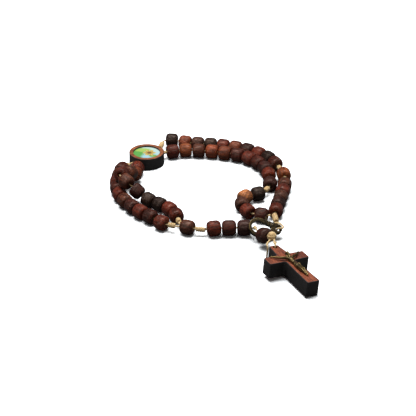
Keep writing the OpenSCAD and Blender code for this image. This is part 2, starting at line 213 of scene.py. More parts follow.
def makeStage():
    clearSelection()
    bpy.ops.mesh.primitive_plane_add(size=3, location=(0, 0, -0.00002))
    floor = bpy.context.object
    floor.name = "floor"
    mat = bpy.data.materials.new("pale_floor")
    mat.use_nodes = True
    nodes, links = mat.node_tree.nodes, mat.node_tree.links
    shader = nodes.new("ShaderNodeBsdfDiffuse")
    links.new(shader.outputs[0], nodes["Material Output"].inputs[0])
    nodes.remove(nodes["Principled BSDF"])
    # White to the camera, but throws little light back on the beads' undersides
    seen = nodes.new("ShaderNodeLightPath")
    pale = nodes.new("ShaderNodeMix")
    pale.data_type = "RGBA"
    pale.inputs[6].default_value = (0.13, 0.13, 0.13, 1)
    pale.inputs[7].default_value = (1.75, 1.8, 1.83, 1)
    links.new(seen.outputs["Is Camera Ray"], pale.inputs[0])
    links.new(pale.outputs[2], shader.inputs["Color"])
    floor.data.materials.append(mat)

    world = bpy.data.worlds.new("studio")
    world.use_nodes = True
    world.node_tree.nodes["Background"].inputs["Color"].default_value = (1, 1, 1, 1)
    world.node_tree.nodes["Background"].inputs["Strength"].default_value = 0.07
    bpy.context.scene.world = world

    for name, box in softboxes.items():
        light = bpy.data.lights.new(name, "AREA")
        light.shape = "RECTANGLE"
        light.size, light.size_y = box["size"]
        light.energy = box["energy"]
        lamp = bpy.data.objects.new(name, light)
        bpy.context.collection.objects.link(lamp)
        lamp.location = box["place"]
        lamp.rotation_euler = (-Vector(box["place"])).to_track_quat("-Z", "Y").to_euler()

    camera = bpy.data.cameras.new("camera")
    camera.sensor_width = sensorWidth
    camera.lens = focalInWidths * sensorWidth
    camera.clip_start, camera.clip_end = 0.01, 10
    eye = bpy.data.objects.new("camera", camera)
    bpy.context.collection.objects.link(eye)
    eye.location = eyePlace
    eye.rotation_euler = (Vector(aimPlace) - eye.location).to_track_quat("-Z", "Y").to_euler()
    scene = bpy.context.scene
    scene.camera = eye
    scene.view_settings.view_transform = "Standard"
    scene.view_settings.look = "None"


makeStage()
print("stage ready")


# Materials

def group(name, inputs, outputs):
    tree = bpy.data.node_groups.new(name, "ShaderNodeTree")
    for label, kind in inputs:
        tree.interface.new_socket(label, in_out="INPUT", socket_type=kind)
    for label, kind in outputs:
        tree.interface.new_socket(label, in_out="OUTPUT", socket_type=kind)
    return tree, tree.nodes.new("NodeGroupInput"), tree.nodes.new("NodeGroupOutput")


class Net:
    def __init__(self, tree):
        self.tree = tree

    def add(self, kind, inputs=None, **settings):
        node = self.tree.nodes.new(kind)
        for key, value in settings.items():
            setattr(node, key, value)
        for key, value in (inputs or {}).items():
            self.feed(node.inputs[key], value)
        return node

    def feed(self, socket, value):
        if isinstance(value, bpy.types.NodeSocket):
            self.tree.links.new(value, socket)
        elif isinstance(value, bpy.types.Node):
            self.tree.links.new(value.outputs[0], socket)
        else:
            socket.default_value = value

    def math(self, operation, a, b=0.0, c=0.0):
        node = self.add("ShaderNodeMath", operation=operation)
        for socket, value in zip(node.inputs, (a, b, c)):
            self.feed(socket, value)
        return node.outputs[0]

    def ramp(self, value, low, high, toLow=0.0, toHigh=1.0, smooth=True):
        node = self.add("ShaderNodeMapRange", {0: value, 1: low, 2: high, 3: toLow, 4: toHigh})
        node.interpolation_type = "SMOOTHSTEP" if smooth else "LINEAR"
        return node.outputs[0]

    def noise(self, vector, scale, detail=3.0, rough=0.55, distortion=0.0):
        return self.add("ShaderNodeTexNoise", {"Vector": vector, "Scale": scale, "Detail": detail,
                                               "Roughness": rough, "Distortion": distortion}).outputs[0]

    def stretch(self, vector, scale):
        return self.add("ShaderNodeVectorMath", {0: vector, 1: scale}, operation="MULTIPLY").outputs[0]

    def millimetres(self, vector):
        return self.stretch(vector, (metre, metre, metre))

    # A value between 0 and 1 brought round zero, as wide as the amount
    def swing(self, value, amount):
        return self.math("MULTIPLY", self.math("SUBTRACT", value, 0.5), amount)

    def mix(self, factor, a, b, blend="MIX"):
        node = self.add("ShaderNodeMix", data_type="RGBA", blend_type=blend)
        self.feed(node.inputs[0], factor)
        self.feed(node.inputs[6], a)
        self.feed(node.inputs[7], b)
        return node.outputs[2]


def rgba(colour):
    return (*colour, 1.0)


# Grain of a piece of wood whose fibres run along Z, in millimetres
def makeGrainGroup():
    tree, start, end = group("wood_grain", [("Vector", "NodeSocketVector")],
                             [("Streak", "NodeSocketFloat"), ("Pore", "NodeSocketFloat"),
                              ("Fibre", "NodeSocketFloat"), ("Line", "NodeSocketFloat")])
    net = Net(tree)
    spot = start.outputs[0]
    wide = net.noise(net.stretch(spot, (0.55, 0.55, 0.07)), 1.0, 3, 0.6, 0.6)
    bands = net.noise(net.stretch(spot, (2.6, 2.6, 0.16)), 1.0, 4, 0.65, 0.3)
    streak = net.math("ADD", net.math("MULTIPLY", wide, 0.5), net.math("MULTIPLY", bands, 0.5))
    pores = net.noise(net.stretch(spot, (9.0, 9.0, 0.9)), 1.0, 2, 0.5)
    fibres = net.noise(net.stretch(spot, (16.0, 16.0, 0.8)), 1.0, 3, 0.6)
    lines = net.noise(net.stretch(spot, (1.5, 1.5, 0.22)), 1.0, 3, 0.7, 0.9)
    ridge = net.math("ABSOLUTE", net.math("SUBTRACT", lines, 0.5))
    net.feed(end.inputs["Streak"], net.ramp(streak, 0.42, 0.58))
    net.feed(end.inputs["Pore"], net.ramp(pores, 0.60, 0.72))
    net.feed(end.inputs["Fibre"], fibres)
    net.feed(end.inputs["Line"], net.ramp(ridge, 0.075, 0.01))
    return tree


grainGroup = makeGrainGroup()


def newMaterial(name):
    mat = bpy.data.materials.new(name)
    mat.use_nodes = True
    net = Net(mat.node_tree)
    return mat, net, mat.node_tree.nodes["Principled BSDF"]


def grainNode(net, vector):
    node = net.add("ShaderNodeGroup")
    node.node_tree = grainGroup
    net.feed(node.inputs[0], vector)
    return node


def makeBeadWood():
    mat, net, shader = newMaterial("bead_wood")
    tint = net.add("ShaderNodeAttribute", attribute_name="tint")
    place = net.add("ShaderNodeAttribute", attribute_name="grain")
    grain = grainNode(net, place.outputs["Vector"])
    dark = net.mix(1.0, tint.outputs["Color"], (0.28, 0.23, 0.22, 1), "MULTIPLY")
    pale = net.mix(1.0, tint.outputs["Color"], (1.55, 1.5, 1.35, 1), "MULTIPLY")
    depth = net.ramp(tint.outputs["Alpha"], 0, 1, 0.45, 1.0, False)
    streaked = net.mix(grain.outputs["Streak"], dark, pale)
    colour = net.mix(depth, tint.outputs["Color"], streaked)
    pore = net.math("MULTIPLY", grain.outputs["Pore"], 0.5)
    colour = net.mix(pore, colour, (0.012, 0.006, 0.005, 1))
    marked = net.ramp(tint.outputs["Alpha"], 0.3, 1, 0.5, 0.95, False)
    lineColour = net.mix(1.0, tint.outputs["Color"], (0.18, 0.13, 0.13, 1), "MULTIPLY")
    colour = net.mix(net.math("MULTIPLY", grain.outputs["Line"], marked), colour, lineColour)
    net.feed(shader.inputs["Base Color"], colour)
    rough = net.ramp(grain.outputs["Fibre"], 0.25, 0.75, 0.26, 0.4, False)
    net.feed(shader.inputs["Roughness"], rough)
    shader.inputs["Specular IOR Level"].default_value = 0.45
    shader.inputs["Specular Tint"].default_value = (0.95, 0.68, 0.55, 1)
    shader.inputs["Coat Weight"].default_value = 0.06
    shader.inputs["Coat Roughness"].default_value = 0.3
    height = net.math("SUBTRACT", net.math("MULTIPLY", grain.outputs["Fibre"], 0.5), grain.outputs["Pore"])
    height = net.math("SUBTRACT", height, net.math("MULTIPLY", grain.outputs["Line"], 1.5))
    bump = net.add("ShaderNodeBump", {"Height": height, "Strength": 0.55, "Distance": 0.0001})
    net.feed(shader.inputs["Normal"], bump)
    return mat


def makeCutWood(name, centreMatrix, along, deep, pale):
    mat, net, shader = newMaterial(name)
    coord = net.add("ShaderNodeTexCoord")
    # Char on the cut edges; on the medallion the same mask also carries painted shade round the recess edge
    charAndPaintedShade = net.add("ShaderNodeAttribute", attribute_name="charAndPaintedShade").outputs["Fac"]
    inverse = centreMatrix.inverted()
    turn = net.add("ShaderNodeVectorRotate", rotation_type="EULER_XYZ")
    scaled = net.millimetres(coord.outputs["Object"])
    net.feed(turn.inputs["Vector"], scaled)
    turn.inputs["Rotation"].default_value = (along @ inverse.to_3x3()).to_euler()
    grain = grainNode(net, turn.outputs[0])
    face = net.mix(grain.outputs["Streak"], rgba(deep), rgba(pale))
    fine = net.ramp(grain.outputs["Fibre"], 0.35, 0.65, 0.0, 0.4)
    face = net.mix(fine, face, rgba(srgb(96, 44, 30)))
    face = net.mix(net.math("MULTIPLY", grain.outputs["Pore"], 0.7), face, rgba(srgb(48, 20, 16)))
    face = net.mix(net.math("MULTIPLY", grain.outputs["Line"], 0.75), face, rgba(srgb(62, 24, 18)))
    soot = net.noise(net.stretch(scaled, (0.9, 0.9, 3.0)), 1.0, 4, 0.65)
    # Near-black char colour, which also serves as the painted shade at the medallion's recess edge
    charAndShadeColour = net.mix(net.ramp(soot, 0.3, 0.7), rgba(srgb(26, 25, 25)), rgba(srgb(54, 51, 50)))
    ragged = net.swing(grain.outputs["Fibre"], 0.5)
    edge = net.ramp(net.math("ADD", charAndPaintedShade, ragged), 0.35, 0.75)
    net.feed(shader.inputs["Base Color"], net.mix(edge, face, charAndShadeColour))
    net.feed(shader.inputs["Roughness"], net.ramp(edge, 0, 1, 0.42, 0.55, False))
    height = net.math("MULTIPLY", grain.outputs["Fibre"], 0.6)
    height = net.math("ADD", height, net.math("MULTIPLY", soot, 0.5))
    height = net.math("SUBTRACT", height, grain.outputs["Pore"])
    bump = net.add("ShaderNodeBump", {"Height": height, "Strength": 0.35, "Distance": 0.00008})
    net.feed(shader.inputs["Normal"], bump)
    return mat


def makeCordMaterial():
    mat, net, shader = newMaterial("waxed_cord")
    coord = net.add("ShaderNodeTexCoord")
    scaled = net.millimetres(coord.outputs["Object"])
    large = net.noise(scaled, 0.6, 2)
    fine = net.noise(scaled, 9.0, 4, 0.7)
    colour = net.mix(net.ramp(large, 0.3, 0.7), rgba(srgb(226, 190, 132)), rgba(srgb(246, 218, 164)))
    colour = net.mix(net.ramp(fine, 0.45, 0.75, 0, 0.5), colour, rgba(srgb(164, 118, 68)))
    net.feed(shader.inputs["Base Color"], colour)
    shader.inputs["Roughness"].default_value = 0.55
    shader.inputs["Sheen Weight"].default_value = 0.2
    bump = net.add("ShaderNodeBump", {"Height": fine, "Strength": 0.5, "Distance": 0.00005})
    net.feed(shader.inputs["Normal"], bump)
    return mat


def makeBrass():
    mat, net, shader = newMaterial("antique_brass")
    coord = net.add("ShaderNodeTexCoord")
    scaled = net.millimetres(coord.outputs["Object"])
    wear = net.add("ShaderNodeAttribute", attribute_name="wear").outputs["Fac"]
    patch = net.noise(scaled, 0.7, 4, 0.65)
    fine = net.noise(scaled, 5.0, 4, 0.7)
    shine = net.math("ADD", wear, net.swing(patch, 0.45))
    shine = net.math("ADD", shine, net.swing(fine, 0.22))
    rubbed = net.ramp(shine, 0.4, 0.95)
    colour = net.mix(rubbed, rgba(srgb(34, 28, 18)), rgba(srgb(150, 126, 80)))
    net.feed(shader.inputs["Base Color"], colour)
    net.feed(shader.inputs["Metallic"], net.ramp(rubbed, 0, 1, 0.75, 1.0, False))
    net.feed(shader.inputs["Roughness"], net.ramp(fine, 0.3, 0.7, 0.3, 0.44, False))
    bump = net.add("ShaderNodeBump", {"Height": fine, "Strength": 0.12, "Distance": 0.00005})
    net.feed(shader.inputs["Normal"], bump)
    return mat


# A plain flower with leaves on a pale ground, under clear lacquer
def makePicture(centre):
    mat, net, shader = newMaterial("flower_print")
    coord = net.add("ShaderNodeTexCoord")
    place = net.add("ShaderNodeVectorMath", {0: coord.outputs["Object"], 1: tuple(c / metre for c in centre)},
                    operation="SUBTRACT").outputs[0]
    spot = net.millimetres(place)
    wobble = net.noise(spot, 0.8, 3)
    axes = net.add("ShaderNodeSeparateXYZ", {0: spot})
    x, y = axes.outputs[0], axes.outputs[1]

    def blob(cx, cy, rx, ry, soft):
        dx = net.math("DIVIDE", net.math("SUBTRACT", x, cx), rx)
        dy = net.math("DIVIDE", net.math("SUBTRACT", y, cy), ry)
        r = net.math("SQRT", net.math("ADD", net.math("MULTIPLY", dx, dx), net.math("MULTIPLY", dy, dy)))
        r = net.math("ADD", r, net.swing(wobble, 0.7))
        return net.ramp(r, 1 + soft / 2, 1 - soft / 2)

    ground = net.mix(net.ramp(y, -4, 4), rgba(srgb(164, 208, 222)), rgba(srgb(196, 224, 214)))
    colour = net.mix(blob(-3.6, 0.2, 2.6, 4.6, 0.6), ground, rgba(srgb(92, 168, 74)))
    colour = net.mix(blob(-1.6, 2.6, 3.2, 1.6, 0.6), colour, rgba(srgb(168, 200, 96)))
    colour = net.mix(blob(2.9, -2.6, 1.9, 1.1, 0.5), colour, rgba(srgb(120, 176, 92)))
    fx, fy = net.math("SUBTRACT", x, 1.1), net.math("SUBTRACT", y, 0.1)
    angle = net.math("ARCTAN2", fy, fx)
    radius = net.math("SQRT", net.math("ADD", net.math("MULTIPLY", fx, fx), net.math("MULTIPLY", fy, fy)))
    petal = net.math("MULTIPLY_ADD", net.math("COSINE", net.math("MULTIPLY", angle, 6)), 0.45, 2.3)
    petals = net.ramp(net.math("SUBTRACT", radius, petal), 0.15, -0.15)
    vein = net.math("MULTIPLY_ADD", net.math("COSINE", net.math("MULTIPLY", angle, 12)), 0.5, 0.5)
    gold = net.mix(net.math("MULTIPLY", vein, net.ramp(radius, 0.4, 2.2)), rgba(srgb(176, 140, 62)),
                   rgba(srgb(226, 204, 120)))
    colour = net.mix(petals, colour, gold)
    heart = net.ramp(radius, 0.95, 0.75)
    colour = net.mix(heart, colour, rgba(srgb(120, 84, 44)))
    net.feed(shader.inputs["Base Color"], colour)
    shader.inputs["Roughness"].default_value = 0.5
    shader.inputs["Coat Weight"].default_value = 1.0
    shader.inputs["Coat Roughness"].default_value = 0.06
    bump = net.add("ShaderNodeBump", {"Height": wobble, "Strength": 0.05, "Distance": 0.0001})
    net.feed(shader.inputs["Normal"], bump)
    return mat


beadWood = makeBeadWood()
cordMaterial = makeCordMaterial()
brass = makeBrass()
print("materials ready")


# Beads

palette = {
    "black": srgb(42, 27, 23), "olive": srgb(56, 38, 30), "purple": srgb(66, 33, 29),
    "darkRed": srgb(82, 35, 26), "deepRed": srgb(98, 38, 25), "red": srgb(120, 48, 32),
    "brown": srgb(98, 52, 36), "grey": srgb(90, 55, 44), "warm": srgb(132, 66, 42),
    "orange": srgb(150, 72, 43), "amber": srgb(150, 79, 45), "tan": srgb(202, 128, 80),
}
# Each bead's tint and how strongly it is streaked, from 0 to 9
tints = {
    "decade_right_back": "black3 orange3 grey6 olive6 red5 warm4 darkRed9 red4 black7 darkRed5",
    "single_bead_back": "amber5",
    "half_decade_back": "brown7 red5 grey8 purple9 deepRed3",
    "decade_right_front": "deepRed4 amber3 brown4 orange4 warm6 darkRed4 red3 darkRed6 purple6 red5",
    "single_bead_front": "purple5",
    "half_decade_front": "black7 tan3 grey6 red6 darkRed7",
    "decade_left_outer": "red3 darkRed7 red4 darkRed6 brown6 red5 darkRed6 red5 brown5 darkRed5",
    "decade_left_inner": "deepRed4 red6 black8 olive7 purple4 brown3 deepRed4 brown6 warm5 red5",
    "joint_bead": "brown8",
    "tail_beads": "red9 darkRed4 purple5",
    "pendant_bead": "purple6",
}


boreRadius = 0.75
jointBoreRadius = 0.9
mouthRadius = 1.1
mouthDepth = 0.5
boreDepth = 0.9
dice = random.Random(7)


# A barrel whose rounded shoulders are stretched along the bore, which flares at both mouths
def makeBead(bore, length, width, shoulder, across):
    clearSelection()
    waist = length / 2 - shoulder
    bpy.ops.mesh.primitive_cylinder_add(vertices=40, radius=width / 2, depth=2 * (waist + across),
                                        end_fill_type="NGON")
    bead = bpy.context.object
    bpy.ops.object.mode_set(mode="EDIT")
    pick(bead, "EDGE", lambda e: abs(e.verts[0].co.z - e.verts[1].co.z) < 0.1)
    bpy.ops.mesh.bevel(offset=across, segments=8, profile=0.5, affect="EDGES")
    bpy.ops.object.mode_set(mode="OBJECT")
    for v in bead.data.vertices:
        if abs(v.co.z) > waist:
            v.co.z = math.copysign(waist + (abs(v.co.z) - waist) * shoulder / across, v.co.z)
    bpy.ops.object.mode_set(mode="EDIT")
    pick(bead, "FACE", lambda f: abs(f.normal.z) > 0.99 and len(f.verts) > 8)
    bpy.ops.mesh.inset(thickness=width / 2 - across - mouthRadius, use_even_offset=True)
    bpy.ops.mesh.extrude_region_shrink_fatten(TRANSFORM_OT_shrink_fatten={"value": -mouthDepth})
    bpy.ops.transform.resize(value=(bore / mouthRadius, bore / mouthRadius, 1), center_override=(0, 0, 0))
    bpy.ops.mesh.extrude_region_shrink_fatten(TRANSFORM_OT_shrink_fatten={"value": -boreDepth})
    pick(bead, "EDGE", lambda e: all(abs(v.co.z) > length / 2 - 0.02 and v.co.xy.length < mouthRadius + 0.02
                                     for v in e.verts))
    bpy.ops.mesh.bevel(offset=0.08, segments=2, profile=0.5, affect="EDGES")
    bpy.ops.mesh.select_all(action="SELECT")
    bpy.ops.mesh.normals_make_consistent(inside=False)
    bpy.ops.object.mode_set(mode="OBJECT")
    smoothShade(bead, 40)
    return bead


def stringBeads(node, bore):
    master = makeBead(bore, *beadSizes.get(node, beadSizes["all"]))
    made = []
    for (centre, direction), word in zip(runs[node], tints[node].split()):
        copy = master.copy()
        copy.data = master.data.copy()
        bpy.context.collection.objects.link(copy)
        mesh = copy.data
        colour = (*palette[word[:-1]], int(word[-1]) / 9)
        tint = mesh.attributes.new("tint", "FLOAT_COLOR", "POINT")
        tint.data.foreach_set("color", list(colour) * len(mesh.vertices))
        shift = Vector((dice.uniform(0, 60), dice.uniform(0, 60), dice.uniform(0, 60)))
        tilt = Euler((dice.uniform(-0.25, 0.25), dice.uniform(-0.25, 0.25), 0)).to_matrix()
        grain = mesh.attributes.new("grain", "FLOAT_VECTOR", "POINT")
        grain.data.foreach_set("vector", [c for v in mesh.vertices for c in tilt @ v.co + shift])
        size = dice.uniform(0.988, 1.0)
        mesh.transform(Matrix.Translation(centre) @ direction.to_track_quat("Z", "Y").to_matrix().to_4x4()
                       @ Matrix.Rotation(dice.uniform(0, 6.28), 4, "Z")
                       @ Matrix.Diagonal((size, size, 1, 1)))
        made.append(copy)
    bpy.data.objects.remove(master)
    piece = joinPieces(made)
    finishPiece(piece, node + "_wood", [node], beadWood)


for node in runs:
    stringBeads(node, jointBoreRadius if node == "joint_bead" else boreRadius)
print("beads ready")


# Cords and knots

cordRadius = 0.35
loopRadius = 0.4
windingRadius = 0.38
ballRadius = 1.85
ballWindingRadius = 0.42
knotWidth = 2.3


# Outline of a cord of three strands
def makeSection(radius):
    lobes, points = 3, 12
    data = bpy.data.curves.new("section", "CURVE")
    data.dimensions = "2D"
    line = data.splines.new("POLY")
    line.points.add(points - 1)
    for i, p in enumerate(line.points):
        a = 2 * math.pi * i / points
        r = radius * (0.86 + 0.14 * math.cos(lobes * a))
        p.co = (r * math.cos(a), r * math.sin(a), 0, 1)
    line.use_cyclic_u = True
    obj = bpy.data.objects.new("section", data)
    bpy.context.collection.objects.link(obj)
    return obj


def resample(points, step):
    lengths = [0]
    for a, b in zip(points, points[1:]):
        lengths.append(lengths[-1] + (b - a).length)
    count = max(2, round(lengths[-1] / step))
    out, i = [], 1
    for k in range(count + 1):
        s = lengths[-1] * k / count
        while i < len(points) - 1 and lengths[i] < s:
            i += 1
        t = (s - lengths[i - 1]) / max(1e-9, lengths[i] - lengths[i - 1])
        out.append(points[i - 1].lerp(points[i], min(1, max(0, t))))
    return out


def soften(points):
    for _ in range(2):
        points = ([points[0]] + [(a + 2 * b + c) / 4 for a, b, c in zip(points, points[1:], points[2:])]
                  + [points[-1]])
    return points


def twistedCord(points, radius, pitch=1.7, step=0.17):
    path = soften(resample([Vector(p) for p in points], step))
    section = makeSection(radius)
    data = bpy.data.curves.new("cord", "CURVE")
    data.dimensions = "3D"
    data.twist_mode = "MINIMUM"
    line = data.splines.new("POLY")
    line.points.add(len(path) - 1)
    walked = 0
    for i, p in enumerate(path):
        walked += (p - path[i - 1]).length if i else 0
        line.points[i].co = (*p, 1)
        line.points[i].tilt = 2 * math.pi * walked / pitch
    data.bevel_mode = "OBJECT"
    data.bevel_object = section
    data.use_fill_caps = True
    obj = bpy.data.objects.new("cord", data)
    bpy.context.collection.objects.link(obj)
    makeActive(obj)
    bpy.ops.object.convert(target="MESH")
    obj = bpy.context.object
    bpy.data.objects.remove(section)
    smoothShade(obj, 60)
    return obj


# Cord wound closely round an axis from a to b, as on a whipped knot
def woundKnot(a, b, length, diameter=knotWidth):
    radius = windingRadius
    barrel = 0.08
    pointsPerTurn = 22
    axis = (b - a).normalized()
    middle = (a + b) / 2
    side = axis.orthogonal().normalized()
    other = axis.cross(side)
    usable = length - 2 * radius
    turns = max(1.5, usable / (radius * 1.9))
    points = []
    count = int(turns * pointsPerTurn)
    for i in range(count + 1):
        t = i / count
        angle = 2 * math.pi * turns * t
        swell = 1 - barrel * (2 * t - 1) ** 2
        out = (side * math.cos(angle) + other * math.sin(angle)) * (diameter / 2 - radius) * swell
        points.append(middle + axis * (t - 0.5) * usable + out)
    return twistedCord(points, radius, 1.5, 0.2)


# Where the thread bends inside the mouths of the bores
def beadEnds(node):
    half = beadSizes.get(node, beadSizes["all"])[0] / 2
    return [c + d * s * (half - 0.4) for c, d in runs[node] for s in (-1, 1)]


def onClasp(p):
    return claspPlace @ Vector(p)


def onCross(p):
    return crossPlace @ Vector(p)


jointAt, jointWay = runs["joint_bead"][0]
sideways = Vector((0.28, 0.96, 0))
jointOut = [[jointAt - jointWay * back + sideways * s * 0.42 for back in (1.2, 2.8)] for s in (-1, 1)]
paths = {
    "thread_right_back": [(-21.5, 48.5, 2.6), (-20.9, 50.2, 2.7), (-19.4, 57.7, 2.9)]
    + beadEnds("decade_right_back") + beadEnds("single_bead_back") + beadEnds("half_decade_back")
    + [(25.05, -5.1, 3.05)],
    "thread_right_front": [(-20, 46.3, 2.6), (-19, 46.8, 2.7), (-18.1, 48.4, 3)]
    + beadEnds("decade_right_front") + beadEnds("single_bead_front") + beadEnds("half_decade_front")
    + [(23.5, -6.1, 3)],
    "thread_left_outer": jointOut[0] + [(-12.1, -14.9, 3)] + beadEnds("decade_left_outer")
    + [(-32.6, 37.5, 2.7), (-30.9, 39.1, 2.6)],
    "thread_left_inner": jointOut[1] + [(-11.3, -12.9, 3)] + beadEnds("decade_left_inner")
    + [(-28.6, 37.3, 2.8)],
    "thread_tail": [jointAt - jointWay * 0.6, jointAt + jointWay * 2.3, at(tail, 3.5), at(tail, 7.5)]
    + beadEnds("tail_beads")
    + [onClasp(p) for p in ((-1.4, 1.1, -3.35), (-1.2, 0.5, -1.9), (-1, -0.7, 0.9), (-0.5, -2.5, 1.75),
                            (0.3, -3.72, 1.45))] + beadEnds("pendant_bead"),
}
paths = {k: [Vector(p) for p in v] for k, v in paths.items()}
pendantKnotAt = pendantAt + pendantWay * 4.65
paths["clasp_cord"] = curve([(25.2, -11.2, 2.4)] + [onClasp(p) for p in (
    (8.6, 3.4, -2.2), (9.6, 1.3, 0.2), (9.3, -0.2, 1.5), (8.2, -0.4, 1.6), (7.4, -0.3, 0.9),
    (7.3, -0.3, -0.9), (7, 1, -1.9))] + [(25.9, -11.4, 2.2)])
paths["cross_cord"] = curve([pendantKnotAt + Vector((0.83, -1.77, -0.41))] + [onCross(p) for p in (
    (-11.3, 1.8, 5.5), (-9.6, 1.1, 7), (-8.2, 0.1, 6.7), (-8.1, 0, 5.5), (-8.1, 0, 0.4), (-8.4, -0.7, -0.5),
    (-8.9, -1.9, -0.45), (-9.1, -2.4, 0.4), (-9.2, -2.4, 3), (-9.4, -2.4, 5.6), (-10.6, -2, 6.3))]
    + [pendantKnotAt + Vector((-0.78, -1.7, -0.66))])

for node, path in paths.items():
    twisted = twistedCord(path, loopRadius if node.endswith("cord") else cordRadius)
    finishPiece(twisted, node + "_twist", [node], cordMaterial)


def between(before, after, length):
    return beadEnds(before)[-1], beadEnds(after)[0], length


def onPath(node, first, length, *width):
    return (paths[node][first], paths[node][first + 1], length, *width)


# Each knot: two points of its axis, its length, and its width where it isn't the common one
knots = {
    "knots_right_back": [onPath("thread_right_back", 1, 5.4),
                         between("decade_right_back", "single_bead_back", 4.6),
                         between("single_bead_back", "half_decade_back", 3.2)],
    "knots_right_front": [onPath("thread_right_front", 1, 1.3, 1.8),
                          between("decade_right_front", "single_bead_front", 2.8),
                          between("single_bead_front", "half_decade_front", 3.8)],
    "knots_left_outer": [onPath("thread_left_outer", 2, 3.6), onPath("thread_left_outer", -3, 2.3)],
    "knots_left_inner": [onPath("thread_left_inner", 2, 3.1)],
    "knots_tail": [(at(tail, 3.5), at(tail, 7.5), 4.5),
                   (onClasp((-1.2, 0.5, -1.9)), onClasp((-1, -0.7, 0.9)), 2.2, 1.8)],
    "clasp_knot": [(Vector((25, -6.05, 3.15)), Vector((25.6, -10.35, 2.55)), 5.2, 2.5)],
}
for node, rows in knots.items():
    made = [woundKnot(*row) for row in rows]
    finishPiece(joinPieces(made), node + "_wound", [node], cordMaterial)


# Round knot: cord wound in a ball, in three crossing bundles
def roundKnot(centre, radius):
    turns, climb, last = 2.4, 1.7, 99
    made = []
    r = radius - ballWindingRadius
    for turn in (Euler((0, 0, 0)), Euler((1.5, 0.3, 0)), Euler((0.4, 1.45, 0.6))):
        matrix = turn.to_matrix()
        points = []
        for i in range(last + 1):
            t = i / last
            lift = (t - 0.5) * climb
            flat = math.sqrt(max(0.05, r * r - lift * lift))
            angle = 2 * math.pi * turns * t
            points.append(centre + matrix @ Vector((flat * math.cos(angle), flat * math.sin(angle), lift)))
        made.append(twistedCord(points, ballWindingRadius, 1.5, 0.2))
    bpy.ops.mesh.primitive_uv_sphere_add(segments=24, ring_count=14, radius=r - 0.1, location=centre)
    made.append(bpy.context.object)
    return joinPieces(made)


finishPiece(roundKnot(pendantKnotAt, ballRadius), "pendant_knot_wound", ["pendant_knot"],
            cordMaterial)
print("cords ready")


# Medallion and its picture

medallionAt = Vector((-25.8, 43.6, 0))
medallion = {"radius": 7.2, "height": 5.2, "bevel": 0.14, "recess": 5.55, "depth": 1.1, "collar": 0.23,
             "edge": 0.22}


def makeMedallion():
    radius, height, recess = medallion["radius"], medallion["height"], medallion["recess"]
    clearSelection()
    bpy.ops.mesh.primitive_cylinder_add(vertices=128, radius=radius, depth=height, end_fill_type="NGON",
                                        location=(0, 0, height / 2))
    disc = bpy.context.object
    bpy.ops.object.transform_apply(location=True)
    bpy.ops.object.mode_set(mode="EDIT")
    pick(disc, "FACE", lambda f: f.normal.z > 0.99)
    for thickness in (medallion["edge"], radius - recess - medallion["edge"] - medallion["collar"],
                      medallion["collar"]):
        bpy.ops.mesh.inset(thickness=thickness)
    bpy.ops.mesh.extrude_region_move(TRANSFORM_OT_translate={"value": (0, 0, -medallion["depth"])})
    pick(disc, "EDGE", lambda e: all(v.co.xy.length > radius - 0.05 for v in e.verts)
         and abs(e.verts[0].co.z - e.verts[1].co.z) < 0.01)
    bpy.ops.mesh.bevel(offset=medallion["bevel"], segments=3, profile=0.5, affect="EDGES")
    pick(disc, "EDGE", lambda e: all(recess - 0.05 < v.co.xy.length < recess + 0.05
                                     and v.co.z > height - 0.1 for v in e.verts))
    bpy.ops.mesh.bevel(offset=0.1, segments=2, profile=0.5, affect="EDGES")
    bpy.ops.object.mode_set(mode="OBJECT")
    charAndPaintedShade = disc.data.attributes.new("charAndPaintedShade", "FLOAT", "POINT")
    values = []
    for v in disc.data.vertices:
        r = v.co.xy.length
        onTop = v.co.z > height - 0.05 and recess + 0.07 < r < radius - 0.19
        # Rim top 0, recess edge 0.6 as painted shade of the recess wall, charred sides and the rest 1
        onRecessEdge = r < recess + 0.15 and v.co.z > height - 0.7
        values.append(0.0 if onTop else 0.6 if onRecessEdge else 1.0)
    charAndPaintedShade.data.foreach_set("value", values)
    disc.data.transform(Matrix.Translation(medallionAt))
    smoothShade(disc, 30)
    return disc


discGrain = Euler((0, math.radians(90), math.radians(20))).to_matrix()
discWood = makeCutWood("disc_wood", Matrix.Identity(4), discGrain, srgb(146, 78, 44), srgb(220, 138, 84))
finishPiece(makeMedallion(), "medallion_disc", ["medallion"], discWood)


# A thin disc, domed a little towards its middle like poured lacquer
def makePictureDisc():
    radius, thickness, slope = medallion["recess"] - 0.02, 0.4, 0.0252
    clearSelection()
    bpy.ops.mesh.primitive_cylinder_add(vertices=96, radius=radius, depth=thickness, end_fill_type="NGON",
                                        location=(0, 0, thickness / 2))
    disc = bpy.context.object
    bpy.ops.object.transform_apply(location=True)
    bpy.ops.object.mode_set(mode="EDIT")
    for step in (0.3, 0.6, 1.2, 1.4):
        pick(disc, "FACE", lambda f: f.normal.z > 0.99 and len(f.verts) > 8)
        bpy.ops.mesh.inset(thickness=step)
        bpy.ops.transform.translate(value=(0, 0, slope / step))
    bpy.ops.object.mode_set(mode="OBJECT")
    floorHeight = medallion["height"] - medallion["depth"]
    disc.data.transform(Matrix.Translation(medallionAt + Vector((0, 0, floorHeight))))
    smoothShade(disc, 50)
    return disc


finishPiece(makePictureDisc(), "medallion_print", ["medallion_picture"], makePicture(medallionAt))
print("medallion ready")


# Cross

